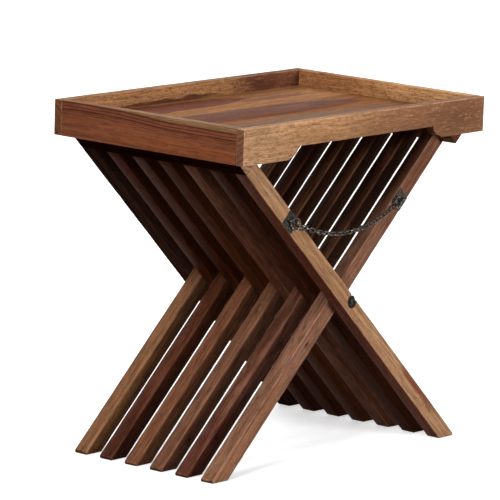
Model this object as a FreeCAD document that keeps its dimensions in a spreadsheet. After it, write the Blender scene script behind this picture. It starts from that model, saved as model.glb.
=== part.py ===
"""Folding tray table: a loose tray on two crossed sets of slats that turn on one rod.

Millimetres and degrees. X runs along the tray's long side, Y along its short side, Z up.
The origin is on the floor below the tray's centre. The slats of set A rise from feet at +X
to the rail at -X, those of set B from feet at -X to the rail at +X. The front is at -Y.
"""
import FreeCAD
import Part
import Sketcher
import math
import os

SIZES = [
    ("tray_length", 600, "outer length of the tray"),
    ("tray_depth", 400, "outer depth of the tray"),
    ("table_height", 570, "floor to the rim"),
    ("rail_height", 58, "height of the tray's rails"),
    ("rail_thick", 16, "thickness of the tray's rails"),
    ("rim_height", 27, "rim above the tray's floor"),
    ("floor_thick", 11.5, "thickness of the floor planks"),
    ("groove_depth", 6, "housing of the floor in the rails"),
    ("back_plank", 112, "visible width of the back plank"),
    ("middle_plank", 104, "width of the middle plank"),
    ("cutout_half", 189, "half length of the hand cut-out at its foot"),
    ("cutout_round", 22, "radius of the quarter rounds that end the cut-out"),
    ("cutout_quirk", 2.5, "step below the quarter rounds"),
    ("dowel_diameter", 8, "all wooden dowels"),
    ("dowel_margin", 10, "corner dowel's axis from the rail's edge"),
    ("dowel_in_long", 9, "corner dowel's depth in the long rail"),
    ("dowel_in_short", 19, "corner dowel's depth in the short rail"),
    ("slat_width", 28.5, "slat across its length, in the plane of the fold"),
    ("base_clear", 9, "outermost slats from the tray's long rails"),
    ("spacer_thick", 1, "gap between two slats"),
    ("slats_a", 7, "slats of set A; set B has one fewer"),
    ("edge_round", 1.5, "eased long edges of slats and top rails"),
    ("foot_nose", 5, "cut back of the foot's sharp outer corner"),
    ("pivot_height", 260, "height of the rod and of the slats' crossing"),
    ("pivot_shift", 9, "rod from the slats' crossing, towards +X"),
    ("tray_clear", 1, "top rails from the tray's short rails"),
    ("rail_depth", 29, "depth of a top rail on its inner face"),
    ("rail_dowel", 20, "dowel's depth in the slat and in the top rail"),
    ("rod_diameter", 10, "pivot rod"),
    ("rod_clear", 0.05, "radial clearance of the slats on the rod"),
    ("rod_proud", 1.2, "rod past the nut"),
    ("nut_flats", 17, "nut across flats"),
    ("nut_thick", 7, "nut's height"),
    ("washer_diameter", 21, "washer under the nut"),
    ("washer_thick", 1.6, "washer under the nut"),
    ("recess_diameter", 23, "recess of the nut in the outermost slats"),
    ("recess_depth", 10, "recess of the nut"),
    ("spacer_diameter", 17, "spacer washers"),
    ("plate_reach", 212, "strap plate's centre from the crossing"),
    ("plate_length", 28, "strap plate along the slat"),
    ("plate_width", 26, "strap plate across the slat"),
    ("plate_thick", 1.2, "strap plate"),
    ("screw_diameter", 3, "plate screw's shank"),
    ("screw_head", 5.4, "countersunk head"),
    ("screw_length", 14, "plate screw"),
    ("screw_inset", 4.6, "screw from the plate's edges"),
    ("screw_slot", 0.8, "slot of the head"),
    ("screw_slot_depth", 0.5, "slot of the head"),
    ("staple_wire", 2.6, "staple"),
    ("staple_legs", 8.2, "staple from leg to leg"),
    ("staple_stand", 6, "top of the bow's wire centre above the plate"),
    ("staple_root", 8, "legs below the plate"),
    ("staple_angle", 33, "legs' line below the level line"),
    ("ring_radius", 9, "ring, to the middle of its wire"),
    ("ring_wire", 3, "ring"),
    ("ring_lift", 2.1, "ring's wire centre above the plate at the staple"),
    ("ring_lean", 5, "ring's far end above the plate"),
    ("chain_hold", 56, "chain before the front slat's face, from the staple"),
    ("link_length", 12.4, "link, to the middle of its wire"),
    ("link_half", 3.1, "link's half width, to the middle of its wire"),
    ("link_wire", 2.2, "link"),
    ("link_play", 0.4, "gap between two links' wires"),
    ("overrun", 5, "cutters past the faces they cut"),
]
CHAIN_SLACK_SHARE = 1.036
QUARTER_TURN_ANGLE = 90
LINK_TWIST_ANGLE = 45

doc = FreeCAD.newDocument("tray_table")
sheet = doc.addObject("Spreadsheet::Sheet", "Sizes")
for row, (alias, number, note) in enumerate(SIZES, 1):
    sheet.set(f"A{row}", alias)
    sheet.set(f"B{row}", str(number))
    sheet.set(f"C{row}", note)
    sheet.setAlias(f"B{row}", alias)
doc.recompute()

# Sizes that follow from the ones above. Along and across are measured from the crossing of a
# slat's centre lines: along the slat upwards, and across it towards the other set's top.
DERIVED = [
    ("rail_foot", "=Sizes.table_height - Sizes.rail_height"),
    ("floor_top", "=Sizes.table_height - Sizes.rim_height"),
    ("floor_under", "=floor_top - Sizes.floor_thick"),
    ("inner_x", "=Sizes.tray_length / 2 - Sizes.rail_thick"),
    ("inner_y", "=Sizes.tray_depth / 2 - Sizes.rail_thick"),
    ("joint_back", "=inner_y - Sizes.back_plank"),
    ("joint_front", "=joint_back - Sizes.middle_plank"),
    ("half_width", "=Sizes.slat_width / 2"),
    ("cap_x", "=inner_x - Sizes.tray_clear"),
    ("shoulder_rise", "=rail_foot - Sizes.pivot_height"),
    ("head_rise", "=floor_under - Sizes.pivot_height"),
    ("shoulder_reach", "=sqrt(cap_x ^ 2 + shoulder_rise ^ 2)"),
    ("slope", "=atan(shoulder_rise / cap_x) + asin(half_width / shoulder_reach)"),
    ("head_along", "=(head_rise - half_width * cos(slope)) / sin(slope)"),
    ("slat_end", "=head_along - Sizes.rail_depth"),
    ("cap_along", "=cap_x * cos(slope) + head_rise * sin(slope)"),
    ("cap_across", "=head_rise * cos(slope) - cap_x * sin(slope)"),
    ("shoulder_along", "=(cap_x - half_width * sin(slope)) / cos(slope)"),
    ("toe_x", "=Sizes.foot_nose - Sizes.pivot_height / tan(slope) - half_width / sin(slope)"),
    ("nose_along", "=(toe_x + half_width * sin(slope)) / cos(slope)"),
    ("toe_along", "=toe_x * cos(slope) - Sizes.pivot_height * sin(slope)"),
    ("toe_across", "=-(toe_x * sin(slope)) - Sizes.pivot_height * cos(slope)"),
    ("heel_along", "=(half_width * cos(slope) - Sizes.pivot_height) / sin(slope)"),
    ("pivot_along", "=Sizes.pivot_shift * cos(slope)"),
    ("pivot_across", "=-(Sizes.pivot_shift * sin(slope))"),
    ("base_half", "=inner_y - Sizes.base_clear"),
    ("rows_wood", "=2 * base_half - (2 * Sizes.slats_a - 2) * Sizes.spacer_thick"),
    ("slat_thick", "=rows_wood / (2 * Sizes.slats_a - 1)"),
    ("half_thick", "=slat_thick / 2"),
    ("pitch", "=slat_thick + Sizes.spacer_thick"),
    ("dowel_radius", "=Sizes.dowel_diameter / 2"),
    ("rod_radius", "=Sizes.rod_diameter / 2"),
    ("bore_radius", "=rod_radius + Sizes.rod_clear"),
    ("washer_face", "=base_half - Sizes.recess_depth"),
    ("nut_face", "=washer_face + Sizes.washer_thick"),
    ("rod_half", "=nut_face + Sizes.nut_thick + Sizes.rod_proud"),
]
derived = doc.addObject("Spreadsheet::Sheet", "Derived")
for row, (alias, formula) in enumerate(DERIVED, 1):
    derived.set(f"A{row}", alias)
    derived.set(f"B{row}", formula)
    derived.setAlias(f"B{row}", alias)
doc.recompute()


def value(text):
    """The number that an expression on the two sheets gives."""
    found = sheet.evalExpression(text)
    return float(getattr(found, "Value", found))


def size(alias):
    """One size by its alias, from either sheet."""
    owner = derived if any(alias == name for name, _ in DERIVED) else sheet
    found = getattr(owner, alias)
    return float(getattr(found, "Value", found))


def bind(thing, **texts):
    """Binds properties to expressions; two underlines in a name stand for a dot."""
    for name, text in texts.items():
        thing.setExpression(name.replace("__", "."), text)


# Building blocks

def primitive(kind, name, **texts):
    """A primitive whose sizes are expressions."""
    thing = doc.addObject(f"Part::{kind}", name)
    bind(thing, **texts)
    return thing


def box(name, x, y, z):
    """A box from three pairs of expressions: its low and high place on each axis."""
    thing = doc.addObject("Part::Box", name)
    for axis, side, (low, high) in zip("xyz", ("Length", "Width", "Height"), (x, y, z)):
        thing.setExpression(side, f"({high}) - ({low})")
        thing.setExpression(f"Placement.Base.{axis}", low)
    return thing


def turned(thing, axis, angle=90):
    """Turns a primitive about an axis through its own origin."""
    thing.Placement = FreeCAD.Placement(thing.Placement.Base, FreeCAD.Rotation(FreeCAD.Vector(*axis), angle))
    return thing


def rod_along_y(name, radius, length, x, y, z):
    """A cylinder that runs towards +Y from a place given by expressions."""
    thing = primitive("Cylinder", name, Radius=radius, Height=length)
    turned(thing, (-1, 0, 0))
    bind(thing, Placement__Base__x=x, Placement__Base__y=y, Placement__Base__z=z)
    return thing


def together(name, pieces):
    """Separate solids under one name."""
    group = doc.addObject("Part::Compound", name)
    group.Links = pieces
    group.Label = name
    return group


def fused(name, pieces):
    thing = doc.addObject("Part::MultiFuse", name)
    thing.Shapes = pieces
    return thing


def cut(name, base, cutters):
    """The base less all the cutters."""
    tool = cutters[0]
    if len(cutters) > 1:
        tool = doc.addObject("Part::Compound", f"{name}_cutters")
        tool.Links = cutters
    thing = doc.addObject("Part::Cut", name)
    thing.Base = base
    thing.Tool = tool
    thing.Label = name
    return thing


def origin_plane(body, role):
    return next(feature for feature in body.Origin.OriginFeatures if feature.Role == role)


def place_constraints(sketch, element, point, corner):
    """Ties one point of a sketch to a pair of expressions."""
    for axis, text in zip("XY", corner):
        wanted = Sketcher.Constraint(f"Distance{axis}", -1, 1, element, point, value(text))
        number = sketch.addConstraint(wanted)
        sketch.setExpression(f"Constraints[{number}]", text)


def sketch_on(body, name, role, offset="0"):
    """An empty sketch on one of the body's planes, moved along the plane's normal."""
    sketch = body.newObject("Sketcher::SketchObject", name)
    sketch.AttachmentSupport = [(origin_plane(body, role), "")]
    sketch.MapMode = "FlatFace"
    sketch.setExpression("AttachmentOffset.Base.z", offset)
    return sketch


def outline(body, name, role, corners):
    """A closed outline of straight lines through pairs of expressions."""
    sketch = sketch_on(body, name, role)
    places = [FreeCAD.Vector(value(x), value(y), 0) for x, y in corners]
    for start, end in zip(places, places[1:] + places[:1]):
        sketch.addGeometry(Part.LineSegment(start, end), False)
    for index, corner in enumerate(corners):
        following = (index + 1) % len(corners)
        sketch.addConstraint(Sketcher.Constraint("Coincident", index, 2, following, 1))
        place_constraints(sketch, index, 1, corner)
    return sketch


def circles(body, name, role, centres, radius, offset):
    """Equal circles about pairs of expressions, on a plane moved along its normal."""
    sketch = sketch_on(body, name, role, offset)
    for index, centre in enumerate(centres):
        place = FreeCAD.Vector(value(centre[0]), value(centre[1]), 0)
        sketch.addGeometry(Part.Circle(place, FreeCAD.Vector(0, 0, 1), value(radius)), False)
        place_constraints(sketch, index, 3, centre)
        number = sketch.addConstraint(Sketcher.Constraint("Radius", index, value(radius)))
        sketch.setExpression(f"Constraints[{number}]", radius)
    return sketch


def pad(body, name, sketch, length):
    """A pad to both sides of its sketch."""
    feature = body.newObject("PartDesign::Pad", name)
    feature.Profile = sketch
    feature.SideType = "Symmetric"
    feature.setExpression("Length", length)
    doc.recompute()
    return feature


def pocket(body, name, sketch, length, forward=False):
    """Cuts a sketch into the body, against the plane's normal or along it."""
    before = body.Shape.Volume
    feature = body.newObject("PartDesign::Pocket", name)
    feature.Profile = sketch
    feature.Reversed = forward
    feature.setExpression("Length", length)
    doc.recompute()
    if not body.Shape.Volume < before:
        raise RuntimeError(f"{body.Label}: {name} cuts nothing")
    return feature


def ease(body, name, feature, direction, radius):
    """Rounds the feature's straight edges that run along a direction."""
    names = []
    for number, edge in enumerate(feature.Shape.Edges, 1):
        along = edge.Vertexes[-1].Point - edge.Vertexes[0].Point
        if edge.Length and along.cross(FreeCAD.Vector(*direction)).Length < edge.Length * 1e-6:
            names.append(f"Edge{number}")
    fillet = body.newObject("PartDesign::Fillet", name)
    fillet.Base = (feature, names)
    fillet.setExpression("Radius", radius)
    doc.recompute()
    return fillet


# The tray

def corner_dowel_places():
    """Axis of each corner dowel: its X, its Z and the side of the tray in Y."""
    for x_sign in ("-", ""):
        for y_sign in ("-", ""):
            for z in ("Derived.rail_foot + Sizes.dowel_margin", "Sizes.table_height - Sizes.dowel_margin"):
                yield f"{x_sign}(Sizes.tray_length - Sizes.rail_thick) / 2", z, y_sign


def corner_dowels(name, x_sign=None, y_sign=None):
    """Corner dowels as cylinders, all of them or those of one short or long rail."""
    pieces = []
    for x, z, side in corner_dowel_places():
        if y_sign is not None and side != y_sign:
            continue
        if x_sign is not None and x.startswith("-") != (x_sign == "-"):
            continue
        if side == "-":
            low = "-Derived.inner_y - Sizes.dowel_in_long"
        else:
            low = "Derived.inner_y - Sizes.dowel_in_short"
        length = "Sizes.dowel_in_long + Sizes.dowel_in_short"
        piece = rod_along_y(f"{name}_{len(pieces) + 1}", "Derived.dowel_radius", length, x, low, z)
        pieces.append(piece)
    return pieces


def hand_cutout(name, y):
    """Cutter of a hand cut-out: a box whose ends leave a quarter round of wood."""
    round_z = "Derived.rail_foot + Sizes.cutout_quirk + Sizes.cutout_round"
    over = "Sizes.overrun"
    blank = box(
        f"{name}_blank",
        ("-Sizes.cutout_half", "Sizes.cutout_half"),
        y,
        (f"Derived.rail_foot - {over}", "Derived.floor_under"),
    )
    ends = []
    for sign in ("-", ""):
        ends.append(rod_along_y(
            f"{name}_round{len(ends) + 1}",
            "Sizes.cutout_round",
            f"({y[1]}) - ({y[0]}) + 2 * {over}",
            f"{sign}Sizes.cutout_half",
            f"{y[0]} - {over}",
            round_z,
        ))
    return cut(f"{name}_cutter", blank, ends)


def long_rail(name, y_sign):
    """A long rail: floor groove on its inner face and a hand cut-out in its lower edge."""
    if y_sign == "-":
        y = ("-Sizes.tray_depth / 2", "-Derived.inner_y")
        groove_y = ("-Derived.inner_y - Sizes.groove_depth", "-Derived.inner_y + Sizes.overrun")
        cutout_y = ("-Sizes.tray_depth / 2 - Sizes.overrun", "-Derived.inner_y + Sizes.overrun")
    else:
        y = ("Derived.inner_y", "Sizes.tray_depth / 2")
        groove_y = ("Derived.inner_y - Sizes.overrun", "Derived.inner_y + Sizes.groove_depth")
        cutout_y = ("Derived.inner_y - Sizes.overrun", "Sizes.tray_depth / 2 + Sizes.overrun")
    x = ("-Sizes.tray_length / 2", "Sizes.tray_length / 2")
    blank = box(f"{name}_blank", x, y, ("Derived.rail_foot", "Sizes.table_height"))
    groove = box(
        f"{name}_groove",
        ("-Derived.inner_x - Sizes.groove_depth", "Derived.inner_x + Sizes.groove_depth"),
        groove_y,
        ("Derived.floor_under", "Derived.floor_top"),
    )
    holes = corner_dowels(f"{name}_hole", y_sign=y_sign)
    return cut(name, blank, [groove, hand_cutout(name, cutout_y), *holes])


def short_rail(name, x_sign):
    """A short rail between the long ones, grooved from end to end."""
    if x_sign == "-":
        x = ("-Sizes.tray_length / 2", "-Derived.inner_x")
        groove_x = ("-Derived.inner_x - Sizes.groove_depth", "-Derived.inner_x + Sizes.overrun")
    else:
        x = ("Derived.inner_x", "Sizes.tray_length / 2")
        groove_x = ("Derived.inner_x - Sizes.overrun", "Derived.inner_x + Sizes.groove_depth")
    y = ("-Derived.inner_y", "Derived.inner_y")
    blank = box(f"{name}_blank", x, y, ("Derived.rail_foot", "Sizes.table_height"))
    groove_y = ("-Derived.inner_y - Sizes.overrun", "Derived.inner_y + Sizes.overrun")
    groove = box(f"{name}_groove", groove_x, groove_y, ("Derived.floor_under", "Derived.floor_top"))
    holes = corner_dowels(f"{name}_hole", x_sign=x_sign)
    return cut(name, blank, [groove, *holes])


def plank(name, low, high):
    """A floor plank, its ends and its outer edges in the grooves."""
    thing = box(
        name,
        ("-Derived.inner_x - Sizes.groove_depth", "Derived.inner_x + Sizes.groove_depth"),
        (low, high),
        ("Derived.floor_under", "Derived.floor_top"),
    )
    thing.Label = name
    return thing


def tray():
    return [
        long_rail("tray_front_rail", "-"),
        long_rail("tray_back_rail", ""),
        short_rail("tray_left_rail", "-"),
        short_rail("tray_right_rail", ""),
        plank("floor_plank_front", "-Derived.inner_y - Sizes.groove_depth", "Derived.joint_front"),
        plank("floor_plank_middle", "Derived.joint_front", "Derived.joint_back"),
        plank("floor_plank_back", "Derived.joint_back", "Derived.inner_y + Sizes.groove_depth"),
        together("tray_dowels", corner_dowels("tray_dowel")),
    ]


# The two sets of slats

class Side:
    """One set: where its rows are, how it leans, and its across direction in a sketch."""

    def __init__(self, letter):
        self.letter = letter
        first = letter == "a"
        self.sign = "-" if first else ""
        self.angle = "180 deg - Derived.slope" if first else "Derived.slope"
        count = round(size("slats_a")) - (0 if first else 1)
        self.rows = [2 * index + (0 if first else 1) for index in range(count)]
        self.pivot = (("-" if first else "") + "Derived.pivot_along", "Derived.pivot_across")

    def across(self, text):
        """An across place in this set's sketches."""
        return f"{self.sign}({text})"

    def lean(self, thing, y):
        """Puts a piece that is drawn along X at its slope, at a place along the rod."""
        turn = FreeCAD.Rotation(FreeCAD.Vector(0, -1, 0), value(self.angle))
        thing.Placement = FreeCAD.Placement(FreeCAD.Vector(0, 0, 0), turn)
        thing.setExpression("Placement.Rotation.Angle", self.angle)
        bind(thing, Placement__Base__y=y, Placement__Base__z="Sizes.pivot_height")
        return thing


def row_y(row):
    """Middle of a slat along the rod, counted from the front."""
    return f"{row} * Derived.pitch - Derived.base_half + Derived.half_thick"


def recess(body, side, front):
    """Sinks a recess for washer and nut into the outer face of an outermost slat."""
    offset = "Derived.half_thick" if front else "-Derived.half_thick"
    radius = "Sizes.recess_diameter / 2"
    sketch = circles(body, f"{body.Name}_recess", "XZ_Plane", [side.pivot], radius, offset)
    pocket(body, f"{body.Name}_recess_cut", sketch, "Sizes.recess_depth", forward=not front)


def fixing_holes(body, side):
    """Holes in a front face for the plate's screws and the staple's legs."""
    screws = circles(body, f"{body.Name}_screws", "XZ_Plane", screw_places(), "Sizes.screw_diameter / 2",
                     "Derived.half_thick")
    pocket(body, f"{body.Name}_screw_holes", screws, "Sizes.screw_length - Sizes.plate_thick")
    legs = circles(body, f"{body.Name}_legs", "XZ_Plane", leg_places(side), "Sizes.staple_wire / 2",
                   "Derived.half_thick")
    pocket(body, f"{body.Name}_leg_holes", legs, "Sizes.staple_root")


def slat(side, index, row):
    """One slat: level foot with a blunted outer corner, square top end, bore for the rod."""
    name = f"slat_{side.letter}_{index + 1}"
    body = doc.addObject("PartDesign::Body", name)
    body.Label = name
    corners = [
        ("Derived.slat_end", side.across("Derived.half_width")),
        ("Derived.nose_along", side.across("Derived.half_width")),
        ("Derived.toe_along", side.across("Derived.toe_across")),
        ("Derived.heel_along", side.across("-Derived.half_width")),
        ("Derived.slat_end", side.across("-Derived.half_width")),
    ]
    sketch = outline(body, f"{name}_outline", "XZ_Plane", corners)
    blank = pad(body, f"{name}_pad", sketch, "Derived.slat_thick")
    ease(body, f"{name}_edges", blank, (1, 0, 0), "Sizes.edge_round")
    bore = circles(body, f"{name}_bore", "XZ_Plane", [side.pivot], "Derived.bore_radius", "Derived.half_thick")
    pocket(body, f"{name}_bore_cut", bore, "Derived.slat_thick")
    dowel = circles(body, f"{name}_dowel", "YZ_Plane", [("0", "0")], "Derived.dowel_radius", "Derived.slat_end")
    pocket(body, f"{name}_dowel_hole", dowel, "Sizes.rail_dowel")
    last_row = 2 * round(size("slats_a")) - 2
    if row in (0, last_row):
        recess(body, side, front=row == 0)
    if index == 0:
        fixing_holes(body, side)
    return side.lean(body, row_y(row))


def top_rail(side):
    """The rail on a set's ends. Its top is planed level for the tray's floor, and its outer
    edge is upright, so that the tray's short rails keep the two sets from spreading."""
    name = f"top_rail_{side.letter}"
    body = doc.addObject("PartDesign::Body", name)
    body.Label = name
    corners = [
        ("Derived.slat_end", side.across("-Derived.half_width")),
        ("Derived.slat_end", side.across("Derived.half_width")),
        ("Derived.head_along", side.across("Derived.half_width")),
        ("Derived.cap_along", side.across("Derived.cap_across")),
        ("Derived.shoulder_along", side.across("-Derived.half_width")),
    ]
    sketch = outline(body, f"{name}_outline", "XZ_Plane", corners)
    blank = pad(body, f"{name}_pad", sketch, "2 * Derived.base_half")
    ease(body, f"{name}_edges", blank, (0, 1, 0), "Sizes.edge_round")
    centres = [(row_y(row), "0") for row in side.rows]
    holes = circles(body, f"{name}_dowels", "YZ_Plane", centres, "Derived.dowel_radius", "Derived.slat_end")
    pocket(body, f"{name}_dowel_holes", holes, "Sizes.rail_dowel", forward=True)
    return side.lean(body, "0")


def rail_dowels(side):
    """The dowels between a set's slats and its top rail."""
    name = f"rail_dowels_{side.letter}"
    pieces = []
    for row in side.rows:
        piece = primitive("Cylinder", f"{name}_{len(pieces) + 1}", Radius="Derived.dowel_radius",
                          Height="2 * Sizes.rail_dowel")
        turned(piece, (0, 1, 0))
        bind(piece, Placement__Base__x="Derived.slat_end - Sizes.rail_dowel", Placement__Base__y=row_y(row))
        pieces.append(piece)
    return side.lean(together(name, pieces), "0")


def base(side):
    slats = [slat(side, index, row) for index, row in enumerate(side.rows)]
    return [*slats, top_rail(side), rail_dowels(side)]


# The rod, its nuts and washers

def ring_washer(name, outer, thick, y):
    """A washer on the rod's axis, from a place along the rod towards +Y."""
    disc = rod_along_y(f"{name}_disc", outer, thick, "Sizes.pivot_shift", y, "Sizes.pivot_height")
    hole = rod_along_y(
        f"{name}_hole",
        "Derived.bore_radius",
        f"{thick} + 2 * Sizes.overrun",
        "Sizes.pivot_shift",
        f"{y} - Sizes.overrun",
        "Sizes.pivot_height",
    )
    return cut(name, disc, [hole])


def nut(name, y):
    """A hexagon nut on the rod's axis, from a place along the rod towards +Y."""
    blank = primitive("Prism", f"{name}_hexagon", Circumradius="Sizes.nut_flats / sqrt(3)",
                      Height="Sizes.nut_thick")
    blank.Polygon = 6
    turned(blank, (-1, 0, 0))
    bind(blank, Placement__Base__x="Sizes.pivot_shift", Placement__Base__y=y,
         Placement__Base__z="Sizes.pivot_height")
    hole = rod_along_y(
        f"{name}_hole",
        "Derived.rod_radius",
        "Sizes.nut_thick + 2 * Sizes.overrun",
        "Sizes.pivot_shift",
        f"{y} - Sizes.overrun",
        "Sizes.pivot_height",
    )
    return cut(name, blank, [hole])


def pivot():
    rod = rod_along_y("pivot_rod", "Derived.rod_radius", "2 * Derived.rod_half", "Sizes.pivot_shift",
                      "-Derived.rod_half", "Sizes.pivot_height")
    rod.Label = "pivot_rod"
    nuts = [
        nut("nut_front", "-Derived.nut_face - Sizes.nut_thick"),
        nut("nut_back", "Derived.nut_face"),
    ]
    washers = [
        ring_washer("washer_front", "Sizes.washer_diameter / 2", "Sizes.washer_thick", "-Derived.nut_face"),
        ring_washer("washer_back", "Sizes.washer_diameter / 2", "Sizes.washer_thick", "Derived.washer_face"),
    ]
    spacers = []
    for row in range(2 * round(size("slats_a")) - 2):
        y = f"{row_y(row)} + Derived.half_thick"
        spacers.append(ring_washer(f"spacer_{row + 1}", "Sizes.spacer_diameter / 2", "Sizes.spacer_thick", y))
    return [
        rod,
        together("pivot_nuts", nuts),
        together("pivot_washers", washers),
        together("slat_spacers", spacers),
    ]


# Plates, screws and staples, drawn along X on the plane of a front face

def screw_places():
    """Along and across places of a plate's four screws."""
    along = "Sizes.plate_length / 2 - Sizes.screw_inset"
    across = "Sizes.plate_width / 2 - Sizes.screw_inset"
    return [(f"Sizes.plate_reach {a} ({along})", f"{b}({across})") for a in "+-" for b in ("", "-")]


def leg_turn(side):
    """Angle from the slat's length to the line of the staple's legs, in a sketch."""
    lean = "+" if side.letter == "a" else "-"
    return f"180 deg {lean} (Derived.slope - Sizes.staple_angle * 1 deg)"


def leg_places(side):
    """Along and across places of a staple's legs."""
    turn = leg_turn(side)
    half = "Sizes.staple_legs / 2"
    return [
        (f"Sizes.plate_reach {a} {half} * cos({turn})", f"{b}{half} * sin({turn})")
        for a, b in (("+", ""), ("-", "-"))
    ]


def into_face(name, radius, length, place, start):
    """A cylinder square to a front face, from a place outside it towards +Y."""
    return rod_along_y(name, radius, length, place[0], start, place[1])


def countersink(name, place):
    """The cone of a countersunk head, its wide end at the plate's outer face."""
    cone = primitive("Cone", name, Radius1="Sizes.screw_head / 2", Radius2="Sizes.screw_diameter / 2",
                     Height="Sizes.plate_thick")
    turned(cone, (-1, 0, 0))
    bind(cone, Placement__Base__x=place[0], Placement__Base__y="-Sizes.plate_thick", Placement__Base__z=place[1])
    return cone


def strap_plate(side, face):
    """The plate that carries the staple."""
    name = f"chain_plate_{side.letter}"
    half = "Sizes.plate_length / 2"
    blank = box(
        f"{name}_blank",
        (f"Sizes.plate_reach - {half}", f"Sizes.plate_reach + {half}"),
        ("-Sizes.plate_thick", "0"),
        ("-Sizes.plate_width / 2", "Sizes.plate_width / 2"),
    )
    cutters = [countersink(f"{name}_sink{number}", place) for number, place in enumerate(screw_places(), 1)]
    for number, place in enumerate(leg_places(side), 1):
        cutters.append(into_face(f"{name}_hole{number}", "Sizes.staple_wire / 2",
                                 "Sizes.plate_thick + 2 * Sizes.overrun", place,
                                 "-Sizes.plate_thick - Sizes.overrun"))
    return side.lean(cut(name, blank, cutters), face)


def plate_screws(side, face):
    """Four slotted countersunk screws, flush with the plate."""
    name = f"plate_screws_{side.letter}"
    screws = []
    for number, place in enumerate(screw_places(), 1):
        shank = into_face(f"{name}_shank{number}", "Sizes.screw_diameter / 2",
                          "Sizes.screw_length - Sizes.plate_thick", place, "0")
        whole = fused(f"{name}_solid{number}", [countersink(f"{name}_head{number}", place), shank])
        slot = box(
            f"{name}_slot{number}",
            (f"{place[0]} - Sizes.screw_head", f"{place[0]} + Sizes.screw_head"),
            ("-Sizes.plate_thick - Sizes.overrun", "Sizes.screw_slot_depth - Sizes.plate_thick"),
            (f"{place[1]} - Sizes.screw_slot / 2", f"{place[1]} + Sizes.screw_slot / 2"),
        )
        screws.append(cut(f"{name}_{number}", whole, [slot]))
    return side.lean(together(name, screws), face)


def staple(side, face):
    """A bow of wire whose legs go through the plate into the slat."""
    name = f"chain_staple_{side.letter}"
    spring = "Sizes.staple_stand - Sizes.staple_legs / 2"
    pieces = []
    for number, place in enumerate(leg_places(side), 1):
        pieces.append(into_face(
            f"{name}_leg{number}",
            "Sizes.staple_wire / 2",
            f"Sizes.staple_root + Sizes.plate_thick + {spring}",
            place,
            f"-Sizes.plate_thick - ({spring})",
        ))
    bow = primitive("Torus", f"{name}_bow", Radius1="Sizes.staple_legs / 2", Radius2="Sizes.staple_wire / 2")
    bow.Angle3 = 180
    # The half ring stands on the legs' line with its crown towards -Y.
    bow.Placement.Rotation = bow_rotation(side)
    bind(bow, Placement__Base__x="Sizes.plate_reach", Placement__Base__y=f"-Sizes.plate_thick - ({spring})")
    thing = fused(name, [*pieces, bow])
    thing.Label = name
    return side.lean(thing, face)


def bow_rotation(side):
    """Turns a half ring of the XY plane so that it spans the legs' line and rises to -Y."""
    turn = math.radians(value(leg_turn(side)))
    across_legs = FreeCAD.Vector(math.cos(turn), 0, math.sin(turn))
    outwards = FreeCAD.Vector(0, -1, 0)
    return FreeCAD.Rotation(across_legs, outwards, across_legs.cross(outwards), "XYZ")


# The chain hangs from staple to staple in one curve of two rings and many links

def staple_point(side):
    """Where a ring's wire passes under its staple, in the table's frame."""
    slope = math.radians(size("slope"))
    reach = size("plate_reach")
    lean = -1 if side.letter == "a" else 1
    y = front_face(side) - size("plate_thick") - size("ring_lift")
    x = lean * reach * math.cos(slope)
    return FreeCAD.Vector(x, y, size("pivot_height") + reach * math.sin(slope))


def front_face(side):
    """Y of the front face of a set's first slat."""
    return side.rows[0] * size("pitch") - size("base_half")


class Curve:
    """A hanging curve between the two staples, with a Y that runs level outside the rings."""

    def __init__(self, side_a, side_b):
        self.start = staple_point(side_a)
        self.end = staple_point(side_b)
        self.reach = self.end.x - self.start.x
        self.ring = 2 * size("ring_radius")
        self.step = size("link_length") - size("link_wire") - size("link_play")
        self.hook = (size("link_length") - size("ring_wire") - size("link_wire")) / 2 - size("link_play")
        lean = size("ring_lean") - size("ring_lift")
        self.near = self.start.y - lean
        self.far = self.end.y - lean
        wanted = self.reach * CHAIN_SLACK_SHARE - 2 * (self.ring + self.hook)
        # An odd number, so that the last link takes its ring the same way as the first.
        self.count = 2 * round(wanted / self.step / 2) + 1
        length = (self.count - 1) * self.step + 2 * (self.ring + self.hook)
        chord = math.hypot(self.reach, self.end.y - self.start.y)
        self.sag = math.sqrt(3 / 8 * chord * (length - chord))

    def at(self, share):
        """The point at a share of the way in X."""
        x = self.start.x + self.reach * share
        z = self.start.z - 4 * self.sag * share * (1 - share)
        edge = self.ring / self.reach
        hold = size("chain_hold") / self.reach
        if share < edge:
            y = self.start.y + (self.near - self.start.y) * share / edge
        elif share > 1 - edge:
            y = self.end.y + (self.far - self.end.y) * (1 - share) / edge
        else:
            y = self.near + (self.far - self.near) * max(share - hold, 0) / (1 - edge - hold)
        return FreeCAD.Vector(x, y, z)

    def beyond(self, share, distance):
        """The share of the point that lies a distance further along from a given share."""
        origin = self.at(share)
        low = share
        high = share + 2 * distance / self.reach
        for _ in range(40):
            middle = (low + high) / 2
            if (self.at(middle) - origin).Length < distance:
                low = middle
            else:
                high = middle
        return (low + high) / 2


def along_to(start, end, roll=0):
    """A placement at the middle of two points whose X points along them, rolled about it."""
    along = (end - start).normalize()
    up = FreeCAD.Vector(0, 0, 1)
    across = up.cross(along)
    turn = FreeCAD.Rotation(along, across, along.cross(across), "XYZ")
    turn = turn.multiply(FreeCAD.Rotation(FreeCAD.Vector(1, 0, 0), roll))
    return FreeCAD.Placement((start + end) / 2, turn)


def ring(side, start, end):
    """A ring that lies flat before its plate, from the staple to the first link."""
    name = f"chain_ring_{side.letter}"
    thing = primitive("Torus", name, Radius1="Sizes.ring_radius", Radius2="Sizes.ring_wire / 2")
    thing.Label = name
    thing.Placement = along_to(start, end, roll=90)
    return thing


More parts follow.
